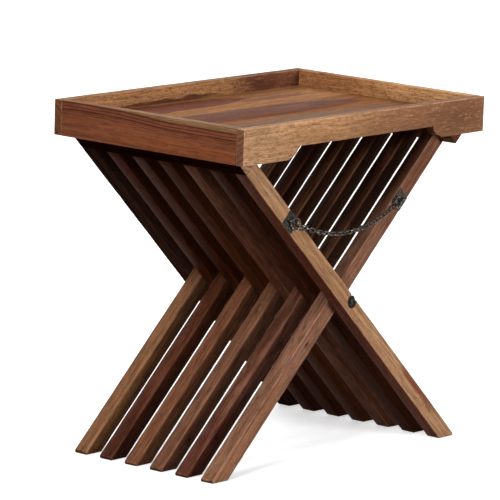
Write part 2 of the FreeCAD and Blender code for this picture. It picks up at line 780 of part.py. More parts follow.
def link_shape():
    """One link about the origin, long along X and flat in XY."""
    wire = size("link_wire") / 2
    half = size("link_half")
    straight = size("link_length") / 2 - half
    z_axis = FreeCAD.Vector(0, 0, 1)
    x_axis = FreeCAD.Vector(1, 0, 0)
    parts = []
    for sign in (-1, 1):
        centre = FreeCAD.Vector(sign * straight, 0, 0)
        section = Part.Wire(Part.makeCircle(wire, centre + FreeCAD.Vector(0, -half, 0), x_axis))
        bend = Part.Face(section).revolve(centre, z_axis, sign * 180)
        parts.append(bend)
        side_start = FreeCAD.Vector(-straight, sign * half, 0)
        parts.append(Part.makeCylinder(wire, 2 * straight, side_start, x_axis))
    return parts[0].fuse(parts[1:]).removeSplitter()


def chain_links(side, places):
    """A run of links, each turned a quarter turn to the one before."""
    name = f"chain_links_{side.letter}"
    shape = link_shape()
    thing = doc.addObject("Part::Feature", name)
    thing.Label = name
    links = []
    for place in places:
        link = shape.copy()
        link.Placement = place
        links.append(link)
    thing.Shape = Part.makeCompound(links)
    return thing


def chain(side_a, side_b):
    """Rings and links. The middle link goes with set A's half."""
    curve = Curve(side_a, side_b)
    ring_share = curve.beyond(0, curve.ring)
    share = curve.beyond(ring_share, curve.hook)
    centres = [share]
    while len(centres) < curve.count:
        share = curve.beyond(share, curve.step)
        centres.append(share)
    half = size("link_length") / 2 / curve.reach
    places = []
    for index, share in enumerate(centres):
        twist = LINK_TWIST_ANGLE * math.sin(math.pi * index / (curve.count - 1))
        roll = QUARTER_TURN_ANGLE * (index % 2) + twist
        tilt = along_to(curve.at(share - half), curve.at(share + half), roll)
        places.append(FreeCAD.Placement(curve.at(share), tilt.Rotation))
    last = curve.at(share)
    far_ring = curve.beyond(share, curve.hook)
    print(f"chain: {curve.count} links, sag {curve.sag:.1f}, last link at X {last.x:.1f}, "
          f"far ring's inner end at X {curve.at(far_ring).x:.1f}")
    split = (curve.count + 1) // 2
    return [
        ring(side_a, curve.start, curve.at(ring_share)),
        ring(side_b, curve.end, curve.at(far_ring)),
        chain_links(side_a, places[:split]),
        chain_links(side_b, places[split:]),
    ]


def hardware(side):
    """Plate, screws and staple of one set."""
    face = str(side.rows[0]) + " * Derived.pitch - Derived.base_half"
    return [strap_plate(side, face), plate_screws(side, face), staple(side, face)]


def build():
    side_a = Side("a")
    side_b = Side("b")
    pieces = tray() + base(side_a) + base(side_b) + pivot()
    pieces += hardware(side_a) + hardware(side_b) + chain(side_a, side_b)
    doc.recompute()
    for thing in doc.Objects:
        if {"Invalid", "Error"} & set(thing.State):
            raise RuntimeError(f"{thing.Label} is {thing.State}")
    for piece in pieces:
        if piece.Shape.isNull() or not piece.Shape.isValid():
            raise RuntimeError(f"{piece.Label} has no valid shape")
    return pieces


def export(pieces):
    os.makedirs("parts", exist_ok=True)
    for piece in pieces:
        piece.Shape.exportStep(f"parts/{piece.Label}.step")
    print(f"{len(pieces)} sub-parts, slope {size('slope'):.2f}")


export(build())
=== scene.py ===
import math

import bmesh
import bpy
from mathutils import Matrix, Vector, noise


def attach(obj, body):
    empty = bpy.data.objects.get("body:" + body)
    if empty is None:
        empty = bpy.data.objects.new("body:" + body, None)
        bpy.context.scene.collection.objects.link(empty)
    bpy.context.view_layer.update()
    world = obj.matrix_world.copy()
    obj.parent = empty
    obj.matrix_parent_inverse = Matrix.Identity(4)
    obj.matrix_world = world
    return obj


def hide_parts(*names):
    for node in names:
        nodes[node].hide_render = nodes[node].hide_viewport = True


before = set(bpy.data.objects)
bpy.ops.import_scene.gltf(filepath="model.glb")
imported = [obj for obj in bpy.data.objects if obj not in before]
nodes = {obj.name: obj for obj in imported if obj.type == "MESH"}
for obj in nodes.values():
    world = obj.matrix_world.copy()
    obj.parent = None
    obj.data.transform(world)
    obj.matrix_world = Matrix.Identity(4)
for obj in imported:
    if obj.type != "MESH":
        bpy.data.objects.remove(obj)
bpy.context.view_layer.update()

MM = 0.001

# The object's sizes in millimetres, as the frame has them.
LONG_HALF = 300
DEPTH_HALF = 200
RAIL_THICK = 16
INNER_X = LONG_HALF - RAIL_THICK
INNER_Y = DEPTH_HALF - RAIL_THICK
RAIL_FOOT = 512
RIM = 570
FLOOR_TOP = 543
FLOOR_UNDER = 531.5
GROOVE = 6
PLANK_HALF = INNER_X + GROOVE
PLANK_SIDES = (-INNER_Y - GROOVE, -32, 72, INNER_Y + GROOVE)
CUTOUT_HALF = 189
CUTOUT_ROUND = 22
CUTOUT_QUIRK = 2.5
SLAT_WIDTH = 28.5
SLAT_THICK = 26
PITCH = 27
BASE_HALF = 175
CROSSING = 260
PIVOT = (9, 260)
TOP_RAIL_DEPTH = 29
CAP_X = 283
FOOT_NOSE = 5
RECESS_RADIUS = 11.5
RECESS_DEPTH = 10
SLAT_COUNTS = {"a": 7, "b": 6}

# How the boards' meshes are made, in millimetres.
RAIL_EDGE = 1.0
SHORT_RAIL_EDGE = 0.8
PLANK_EDGE = 0.35
SLAT_EDGE = 1.4
BUTT_GAP = 0.05
PLANK_GAP = 0.05
PLANK_END_GAP = 0.1
CUT_EVERY = 12
UNEVEN = 0.22           # how far a face rises and falls
UNEVEN_SPAN = (70, 18)  # along and across the grain
PLANED = 0.1            # how far a face lies inside the CAD board's
CHIP_SPAN = (16, 9)
PLANK_WEAR = 0.1
BOARD_WEAR = 0.5

CUTOUT_STEPS = 9
FLAT_NORMAL = 0.985     # a vertex whose normal turns further off every axis is on an edge
END_NORMAL = 0.6        # a face whose normal points more along the grain is end grain
SHARP_ANGLE = math.radians(50)

# Stretch of each noise in a board, per metre along and across its grain.
DRIFT_Y = 3.1
DRIFT_Z = 2.3
RIPPLE = (7, 38, 38)
BROAD = (2.6, 17, 17)
SWIRL = (10, 50, 50)
FIBRE = (14, 520, 520)
DASH = (48, 300, 300)
GLINT = (33, 230, 230)
SPOT = (170, 330, 330)
PORE = (75, 1500, 1500)
# The next breaks up the edge strip of rubbed wear and painted highlight.
CHAFE_AND_LIGHT = (30, 90, 90)

FLOW_REACH = 60      # mm that a drawn flow may stray to each side
WIDE_KNOT = 20       # mm from which a knot's core stays weak
SOLID_BAND = 2       # mm up to which a band is one solid line
# Edge strip: partly rubbed wear, partly a painted highlight where edges catch light.
RUB_AND_LIGHT_START = 2.4      # mm from a long edge where its rubbed strip begins
RUB_AND_LIGHT_END_START = 2.2  # the same at an end
RUB_AND_LIGHT_FULL = 0.4       # mm from an edge where the strip is brightest
RUB_AND_LIGHT_HAZE = (0.06, 0.04, 0.03)
END_FACTORS = (0.44, 0.32, 0.34)

# Factors of each board's tones under the scene's lamps.
TINTS = {
    # The first set's top rail: darker and redder as painted shade under the tray.
    "top_rail_a_wood": (0.6, 0.42, 0.34),
    "left_rail_wood": (0.867, 0.959, 1.011),
    "front_rail_wood": (1.051, 1.15, 1.237),
    "back_rail_wood": (0.62, 0.632, 0.73),
    "right_rail_wood": (0.996, 1.039, 1.093),
    "back_plank_wood": (0.596, 0.496, 0.464),
    "middle_plank_wood": (0.518, 0.376, 0.285),
    "front_plank_wood": (0.384, 0.301, 0.236),
    "slat_a_1_wood": (0.767, 0.792, 0.841),
    "slat_b_1_wood": (0.64, 0.638, 0.667),
    "slat_a_2_wood": (0.916, 0.754, 0.541),
    "slat_a_3_wood": (2.0, 2.0, 1.988),
    "slat_a_4_wood": (1.485, 1.262, 0.709),
    "slat_a_5_wood": (0.62, 0.39, 0.24),
    "slat_a_6_wood": (0.95, 0.65, 0.36),
    "slat_a_7_wood": (0.631, 0.755, 0.97),
    "slat_b_2_wood": (0.654, 0.559, 0.534),
    "slat_b_3_wood": (0.69, 0.627, 0.547),
    "slat_b_4_wood": (0.795, 0.771, 0.823),
    "slat_b_5_wood": (0.33, 0.365, 0.404),
    "slat_b_6_wood": (0.811, 0.876, 0.896),
}

# The lamps: name, direction from the object, strength, angle in degrees.
LAMPS = (
    ("front", (0.15, -1.0, 0.20), 2.9, 16),
    ("left", (-1.0, -0.25, 0.80), 2.5, 22),
    ("back", (0.30, 0.80, 0.60), 1.3, 40),
)

# Sky and floor: linear colours, and lengths in metres.
LAMP_DISTANCE = 4
SKY_LOW = (0.035, 0.033, 0.031)
SKY_HIGH = (0.42, 0.42, 0.43)
WHITE = (1.0, 1.0, 1.0)
FLOOR_PALE = ((0.93, 0.93, 0.93), (0.91, 0.91, 0.91))
FLOOR_FOR_LIGHT = (0.07, 0.06, 0.05)
FLOOR_GLOW = 0.45
FLOOR_HALF = 30
FLOOR_DROP = 0.0004

# The camera: degrees, millimetres, and a focal length in pixels of the 500 px frame.
CAMERA_TURN = (49.534, 10.202, 2.001)
CAMERA_TARGET = (0, 0, 285)
CAMERA_DISTANCE = 7469.26
CAMERA_ASIDE = 26.53
CAMERA_ABOVE = 33.965
FOCAL_PIXELS = 4600
FRAME_PIXELS = 500
SENSOR = 36


# Shader helpers

def add(tree, kind, inputs=None, out=0, **settings):
    """A shader node with its inputs set or linked; gives one of its outputs."""
    node = tree.nodes.new("ShaderNode" + kind)
    for name, value in settings.items():
        setattr(node, name, value)
    for key, value in (inputs or {}).items():
        socket = node.inputs[key]
        if isinstance(value, bpy.types.NodeSocket):
            tree.links.new(value, socket)
        else:
            socket.default_value = value
    return node.outputs[out]


def sums(tree, operation, a, b=0.0):
    """One step of arithmetic on numbers or sockets."""
    return add(tree, "Math", {0: a, 1: b}, operation=operation)


def plus(tree, a, b):
    return sums(tree, "ADD", a, b)


def minus(tree, a, b):
    return sums(tree, "SUBTRACT", a, b)


def times(tree, a, b):
    return sums(tree, "MULTIPLY", a, b)


def squared(tree, a):
    return times(tree, a, a)


def larger(tree, a, b):
    return sums(tree, "MAXIMUM", a, b)


def bell_of(tree, away_squared):
    """1 at 0, falling to 0 as a squared distance grows."""
    return sums(tree, "EXPONENT", times(tree, away_squared, -1.0))


def separate(tree, vector):
    node = tree.nodes.new("ShaderNodeSeparateXYZ")
    tree.links.new(vector, node.inputs[0])
    return tuple(node.outputs)


def grain_noise(tree, vector, scale, detail=2.0, roughness=0.5, distortion=0.0):
    """Noise of a vector that is first stretched, from 0 to 1 about 0.5."""
    stretched = add(tree, "VectorMath", {0: vector, 1: scale}, operation="MULTIPLY")
    return add(tree, "TexNoise", {
        "Vector": stretched, "Scale": 1.0, "Detail": detail, "Roughness": roughness,
        "Distortion": distortion,
    })


def line_noise(tree, value, scale, detail=2.0, roughness=0.5):
    """Noise along one number."""
    return add(tree, "TexNoise", {
        "W": times(tree, value, scale), "Scale": 1.0, "Detail": detail, "Roughness": roughness,
    }, noise_dimensions="1D")


def spread(tree, value, low, high, to_low=0.0, to_high=1.0, interpolation="SMOOTHSTEP"):
    """Maps a value's range to another, clamped."""
    return add(tree, "MapRange", {
        "Value": value, "From Min": low, "From Max": high, "To Min": to_low, "To Max": to_high,
    }, interpolation_type=interpolation)


def mix(tree, factor, a, b, blend="MIX"):
    """Mixes two colours, each a socket or a tuple of three."""
    node = tree.nodes.new("ShaderNodeMix")
    node.data_type = "RGBA"
    node.blend_type = blend
    for socket, value in ((node.inputs[0], factor), (node.inputs[6], a), (node.inputs[7], b)):
        if isinstance(value, bpy.types.NodeSocket):
            tree.links.new(value, socket)
        else:
            socket.default_value = (*value, 1) if isinstance(value, tuple) else value
    return node.outputs[2]


def rgb(red, green, blue):
    """A screen colour, 0 to 255, as a linear one."""
    def linear(c):
        c /= 255
        return c / 12.92 if c <= 0.04045 else ((c + 0.055) / 1.055) ** 2.4
    return tuple(linear(c) for c in (red, green, blue))


def scaled(colour, factors):
    """A colour times one factor, or times a factor for each channel."""
    if not isinstance(factors, tuple):
        factors = (factors,) * 3
    return tuple(c * f for c, f in zip(colour, factors))


def lifted(colour, factor, haze=(0.0, 0.0, 0.0)):
    """A brighter colour, with some haze on it."""
    return tuple(min(1.0, factor * c + h) for c, h in zip(colour, haze))


def new_material(name):
    material = bpy.data.materials.new(name)
    material.use_nodes = True
    tree = material.node_tree
    return material, tree, tree.nodes["Principled BSDF"]


def finish_shader(tree, shader, colour, roughness, sheen, height, strength, distance):
    """Links a surface's colour, roughness and bump; its specular level is one number."""
    tree.links.new(colour, shader.inputs["Base Color"])
    tree.links.new(roughness, shader.inputs["Roughness"])
    shader.inputs["Specular IOR Level"].default_value = sheen
    bump = add(tree, "Bump", {"Strength": strength, "Distance": distance, "Height": height})
    tree.links.new(bump, shader.inputs["Normal"])


# Wood

class Board:
    """A board's box in its own axes, in mm: its ends, then middle and half size across."""

    def __init__(self, first, last, mid_y, half_y, mid_z, half_z):
        self.first, self.last = first, last
        self.mid_y, self.half_y = mid_y, half_y
        self.mid_z, self.half_z = mid_z, half_z


def curve(tree, share, points, reach):
    """A smooth curve, given as (share of the length, mm) points that stay within reach."""
    node = tree.nodes.new("ShaderNodeFloatCurve")
    tree.links.new(share, node.inputs["Value"])
    handle = node.mapping.curves[0]
    while len(handle.points) < len(points):
        handle.points.new(0.5, 0.5)
    for point, (at, offset) in zip(handle.points, points):
        point.location = (at, 0.5 + offset / (2 * reach))
    node.mapping.update()
    return times(tree, minus(tree, node.outputs[0], 0.5), 2 * reach * MM)


def ellipse(tree, x, y, middle, half, soft):
    """1 inside an ellipse in a board's face and 0 outside."""
    u = sums(tree, "DIVIDE", minus(tree, x, middle[0] * MM), half[0] * MM)
    v = sums(tree, "DIVIDE", minus(tree, y, middle[1] * MM), half[1] * MM)
    away = plus(tree, squared(tree, u), squared(tree, v))
    return spread(tree, away, 1 + soft, 1 - soft)


def pith_distance(tree, board, place, ripple, seed, pith, flow, warp):
    """How far a place is from the pith, whose line drifts and follows the flow."""
    x, y, z = place
    across = minus(tree, y, (board.mid_y + pith[0]) * MM)
    depth = minus(tree, z, (board.mid_z + pith[1]) * MM)
    drift_y = line_noise(tree, plus(tree, x, seed), DRIFT_Y)
    drift_z = line_noise(tree, plus(tree, x, seed + 7), DRIFT_Z)
    across = plus(tree, across, times(tree, minus(tree, drift_y, 0.5), 4 * warp * MM))
    depth = plus(tree, depth, times(tree, minus(tree, drift_z, 0.5), 4 * warp * MM))
    if flow:
        share = spread(tree, x, board.first * MM, board.last * MM, interpolation="LINEAR")
        across = minus(tree, across, curve(tree, share, flow, FLOW_REACH))
    radius = sums(tree, "SQRT", plus(tree, squared(tree, across), squared(tree, depth)))
    return plus(tree, radius, times(tree, ripple, warp * MM))


def knotted(tree, place, ripple, radius, knots):
    """Bends the rings round the knots, and gives the knots' dark halo and core too."""
    x, y, _ = place
    halo = core = None
    for knot_x, knot_y, size, pull in knots:
        along = times(tree, minus(tree, x, knot_x * MM), 0.6)
        side = minus(tree, y, knot_y * MM)
        away = plus(tree, squared(tree, along), squared(tree, side))
        away = times(tree, away, plus(tree, times(tree, ripple, 2.5), 1.0))
        bell = bell_of(tree, times(tree, away, 1 / (size * MM) ** 2))
        radius = plus(tree, radius, times(tree, bell, pull * MM))
        near = spread(tree, bell, 0.1, 0.85)
        centre = spread(tree, bell, 0.90, 0.985)
        if size > WIDE_KNOT:
            centre = times(tree, centre, 0.25)
        halo = near if halo is None else larger(tree, halo, near)
        core = centre if core is None else larger(tree, core, centre)
    return radius, halo, core


def dark_lines(tree, radius, seed, rings, lines, bands, base_radius):
    """Where dark lines lie: thin ones all over, and bands of them."""
    thin = line_noise(tree, plus(tree, radius, seed * 0.023 + 3), rings * 1.3, 2.0, 0.5)
    mask = times(tree, spread(tree, thin, 0.57, 0.67), lines)
    for offset, half, strength in bands:
        u = sums(tree, "DIVIDE", minus(tree, radius, (base_radius + offset) * MM), half * MM)
        band = bell_of(tree, squared(tree, u))
        if half > SOLID_BAND:
            fine = line_noise(tree, plus(tree, radius, offset * 0.07 + 5), 3000 / half, 1.0, 0.4)
            band = times(tree, spread(tree, fine, 0.44, 0.58), band)
        mask = larger(tree, mask, times(tree, band, strength))
    return mask


def rubbed_and_lit_edges(tree, board, place, shifted, worn_and_lit):
    """Where a board's edges are lighter: partly rubbed wear, partly a painted highlight."""
    def near(value, middle, half, start):
        away = sums(tree, "ABSOLUTE", minus(tree, value, middle * MM))
        return spread(tree, away, (half - start) * MM, (half - RUB_AND_LIGHT_FULL) * MM)
    x, y, z = place
    near_x = near(x, (board.first + board.last) / 2, (board.last - board.first) / 2, RUB_AND_LIGHT_END_START)
    near_y = near(y, board.mid_y, board.half_y, RUB_AND_LIGHT_START)
    near_z = near(z, board.mid_z, board.half_z, RUB_AND_LIGHT_START)
    edges = times(tree, near_x, larger(tree, near_y, near_z))
    edges = larger(tree, edges, times(tree, near_y, near_z))
    chafed_and_lit = spread(tree, grain_noise(tree, shifted, CHAFE_AND_LIGHT, 3.0, 0.6), 0.36, 0.58)
    return times(tree, edges, times(tree, chafed_and_lit, worn_and_lit))


def wood(name, board, tones, seed, pith=(60, 25), flow=None, rings=260, warp=5.0, lines=0.4,
         bands=(), fleck=0.5, speckle=0.3, knots=(), patches=(), joint=None, sheen=0.05, reach=1.0,
         worn_and_lit=0.5, sap=None, under_shade=None, figure=0.25, end_tone=None, by_object=False):
    """Oiled rosewood, drawn through the whole board: growth rings about a pith that lies beside
    the board, dark lines, fibres, flecks and pores. Along the board is local X. Lengths in mm.

    tones: light, dark and a line's colour. seed: moves the noise. pith: from the board's middle.
    flow: how far the rings stray, as points along the board. rings: how close they lie.
    warp: how uneven they are. lines: strength of the thin dark lines. bands of dark lines: offset
    from the radius at the board's middle, half width, strength. fleck, speckle: strength of long
    and of round marks. knots: x, y, size and pull. patches: middle, half sizes, colour, strength,
    softness.
    joint: y of a glued joint, with darker wood above it. sheen: specular level.
    reach: how much longer the marks are. worn: rubbed edges with a painted highlight.
    sap: offset of the radius where sapwood begins, and its two tones.
    under: factors of painted shade on the side at low y. figure: strength of the swirls.
    end_tone: colour of the end grain. by_object: for a node without the grain attribute."""
    gain = TINTS.get(name, (1, 1, 1))
    light, dark, vein = (scaled(tone, gain) for tone in tones)
    base_radius = math.hypot(*pith)
    material, tree, shader = new_material(name)
    if by_object:
        point = add(tree, "TexCoord", out=3)
    else:
        point = add(tree, "Attribute", out=1, attribute_name="grain")
    shift = (seed * 0.731, seed * 0.377, seed * 0.193)
    shifted = add(tree, "VectorMath", {0: point, 1: shift}, operation="ADD")
    place = separate(tree, point)
    x, y, _ = place

    def marks(scale, low, high, detail=2.0, roughness=0.5, distortion=0.0, stretch=1.0):
        scale = (scale[0] / stretch, scale[1], scale[2])
        field = grain_noise(tree, shifted, scale, detail, roughness, distortion / stretch)
        return spread(tree, field, low, high)

    # Where everything lies
    ripple = minus(tree, grain_noise(tree, shifted, RIPPLE, 3.0, 0.55), 0.5)
    radius = pith_distance(tree, board, place, ripple, seed, pith, flow, warp)
    radius, halo, core = knotted(tree, place, ripple, radius, knots)
    ring = line_noise(tree, plus(tree, radius, seed * 0.01), rings, 3.0, 0.6)
    ring = spread(tree, ring, 0.36, 0.64)
    line_mask = dark_lines(tree, radius, seed, rings, lines, bands, base_radius)
    broad = marks(BROAD, 0.3, 0.7)
    fibre = grain_noise(tree, shifted, (FIBRE[0] / reach, FIBRE[1], FIBRE[2]), 3.0, 0.65)
    dashes = marks(DASH, 0.50, 0.64, 2.0, 0.55, 0.3, reach)
    glints = marks(GLINT, 0.54, 0.70, 2.0, 0.55, 0.5, reach)
    spots = marks(SPOT, 0.53, 0.64, 2.0, 0.6, 0.6)
    pores = marks(PORE, 0.60, 0.74, 1.0)
    swirl = grain_noise(tree, shifted, SWIRL, 3.0, 0.6, 1.6)
    swirl_dark = times(tree, spread(tree, swirl, 0.50, 0.66), figure)
    swirl_light = times(tree, spread(tree, swirl, 0.46, 0.34), 0.7 * figure)

    # Heartwood, sapwood and patches
    tone = plus(tree, times(tree, ring, 0.5), times(tree, broad, 0.5))
    colour = mix(tree, tone, light, dark)
    colour = mix(tree, swirl_dark, colour, scaled(dark, 0.55))
    colour = mix(tree, swirl_light, colour, scaled(light, 1.15))
    if sap:
        start, sap_light, sap_dark = sap
        sap_radius = base_radius + start
        outer = spread(tree, radius, (sap_radius - 0.7) * MM, (sap_radius + 0.7) * MM)
        colour = mix(tree, outer, colour, mix(tree, tone, sap_light, sap_dark))
    wander_x = plus(tree, x, times(tree, ripple, 120 * MM))
    wander_y = plus(tree, y, times(tree, ripple, 26 * MM))
    for middle, half, tint, strength, soft in patches:
        tint = scaled(tint, gain)
        inside = ellipse(tree, wander_x, wander_y, middle, half, soft)
        tinted = mix(tree, tone, scaled(tint, 1.12), scaled(tint, 0.74))
        colour = mix(tree, times(tree, inside, strength), colour, tinted)
    if joint is not None:
        step = spread(tree, y, (joint - 0.2) * MM, (joint + 0.2) * MM, 0.0, 0.45)
        colour = mix(tree, step, colour, dark)

    # Knots, lines and marks
    if halo is not None:
        colour = mix(tree, times(tree, halo, 0.55), colour, vein)
    colour = mix(tree, line_mask, colour, vein)
    if core is not None:
        colour = mix(tree, core, colour, scaled(vein, 0.4))
    colour = mix(tree, times(tree, glints, 0.45 * fleck), colour, lifted(light, 1.35))
    colour = mix(tree, times(tree, dashes, 0.85 * fleck), colour, vein)
    colour = mix(tree, times(tree, spots, 0.9 * speckle), colour, vein)
    shade = spread(tree, fibre, 0.3, 0.7, 0.78, 1.14)
    grey = add(tree, "CombineColor", {0: shade, 1: shade, 2: shade})
    colour = mix(tree, 1.0, colour, grey, "MULTIPLY")
    colour = mix(tree, times(tree, pores, 0.45), colour, scaled(dark, 0.35))

    # End grain, rubbed edges with a painted highlight, painted shade on the side facing down
    end = add(tree, "Attribute", out=2, attribute_name="end")
    end_tone = end_tone or scaled(dark, END_FACTORS)
    ringed = mix(tree, ring, scaled(end_tone, 1.35), scaled(end_tone, 0.62))
    colour = mix(tree, times(tree, end, 0.85), colour, ringed)
    # Rubbed edges: partly real wear, partly a painted highlight where edges catch the light.
    rub_and_highlight = rubbed_and_lit_edges(tree, board, place, shifted, worn_and_lit)
    colour = mix(tree, rub_and_highlight, colour, lifted(light, 1.3, RUB_AND_LIGHT_HAZE))
    # Painted shade: the side at low y, a slat's underside, is darkened.
    if under_shade:
        low_y = board.mid_y - board.half_y
        shaded_underside = spread(tree, y, (low_y + 0.9) * MM, (low_y + 0.3) * MM)
        colour = mix(tree, shaded_underside, colour, under_shade, "MULTIPLY")

    roughness = plus(tree, spread(tree, broad, 0.0, 1.0, 0.50, 0.62), times(tree, pores, 0.2))
    height = minus(tree, times(tree, fibre, 0.6), pores)
    height = plus(tree, height, times(tree, ring, -0.25))
    finish_shader(tree, shader, colour, roughness, sheen, height, 0.35, 0.0003)
    return material


# Colours: each wood has a light and a dark tone and a line's tone

TAN = (rgb(196, 150, 110), rgb(160, 114, 78), rgb(98, 62, 42))
STRAW = (rgb(200, 156, 104), rgb(162, 116, 72), rgb(98, 60, 40))
GOLD = (rgb(190, 136, 84), rgb(148, 98, 58), rgb(86, 46, 30))
RED = (rgb(160, 92, 60), rgb(126, 66, 42), rgb(66, 28, 22))
PINK = (rgb(176, 128, 100), rgb(136, 92, 70), rgb(84, 48, 38))
BROWN = (rgb(156, 106, 72), rgb(116, 74, 50), rgb(64, 36, 27))
MAUVE = (rgb(150, 108, 86), rgb(112, 76, 60), rgb(74, 42, 36))
# The last two: dark wood, made darker still as painted shade for the first set's parts under the
# tray.
DARK_SHADED = (rgb(116, 74, 54), rgb(78, 46, 34), rgb(42, 23, 18))
DUSK_SHADED = (rgb(96, 56, 40), rgb(62, 34, 26), rgb(34, 18, 15))

# The boards' boxes; a plank's thickness, a slat's ends and a top rail's section are rounded
RAIL_Y = ((RAIL_FOOT + RIM) / 2, (RIM - RAIL_FOOT) / 2)
RAIL_Z = RAIL_THICK / 2
LONG_FRONT = Board(-LONG_HALF, LONG_HALF, *RAIL_Y, DEPTH_HALF - RAIL_Z, RAIL_Z)
LONG_BACK = Board(-LONG_HALF, LONG_HALF, *RAIL_Y, RAIL_Z - DEPTH_HALF, RAIL_Z)
SHORT_LEFT = Board(-INNER_Y, INNER_Y, *RAIL_Y, RAIL_Z - LONG_HALF, RAIL_Z)
SHORT_RIGHT = Board(-INNER_Y, INNER_Y, *RAIL_Y, LONG_HALF - RAIL_Z, RAIL_Z)
PLANK_FRONT, PLANK_MIDDLE, PLANK_BACK = (
    Board(-PLANK_HALF, PLANK_HALF, (low + high) / 2, (high - low) / 2, 537, 6)
    for low, high in zip(PLANK_SIDES, PLANK_SIDES[1:])
)
SLAT = Board(-383, 348, 0, SLAT_WIDTH / 2, 0, SLAT_THICK / 2)
RAIL_A = Board(-BASE_HALF, BASE_HALF, 251, 20.5, -261.5, 21.5)
RAIL_B = Board(-BASE_HALF, BASE_HALF, 251, 20.5, 261.5, 21.5)

SLAT_TONES = {
    "slat_a_1": (TAN, {
        # Its underside is darkened as painted shade.
        "lines": 0.3, "under_shade": (0.78, 0.50, 0.58),
        "patches": [((-255, 8), (60, 8), rgb(132, 66, 48), 0.8, 0.6)],
    }),
    "slat_a_2": (DUSK_SHADED, {}),
    "slat_a_3": (DARK_SHADED, {"joint": 3}),
    "slat_a_4": (DUSK_SHADED, {}),
    "slat_a_5": (DARK_SHADED, {}),
    "slat_a_6": (DUSK_SHADED, {"joint": -4}),
    "slat_a_7": (DARK_SHADED, {"sheen": 0.0}),
    "slat_b_1": (PINK, {
        "lines": 0.35, "knots": [(-95, 1, 5, 9)],
        "patches": [((-300, 2), (130, 14), rgb(172, 120, 84), 0.7, 0.7),
                    # Darker and redder near the top end: painted shade under the tray.
                    ((300, 0), (120, 20), rgb(150, 98, 74), 0.7, 0.6)],
    }),
    "slat_b_2": (MAUVE, {
        "figure": 0.75, "knots": [(-300, 4, 9, 12), (-215, -3, 7, 9)],
        "patches": [((-330, 0), (110, 20), rgb(98, 54, 40), 0.8, 0.7)],
    }),
    "slat_b_3": (MAUVE, {
        "figure": 0.65, "knots": [(-310, -2, 10, 12)],
        "patches": [((-340, 0), (110, 20), rgb(120, 80, 62), 0.6, 0.7)],
    }),
    "slat_b_4": (BROWN, {"joint": 2}),
    "slat_b_5": (RED, {"patches": [((-330, 0), (110, 20), rgb(120, 62, 44), 0.6, 0.7)]}),
    "slat_b_6": (BROWN, {"patches": [((-260, 2), (120, 12), rgb(172, 116, 72), 0.7, 0.7)]}),
}


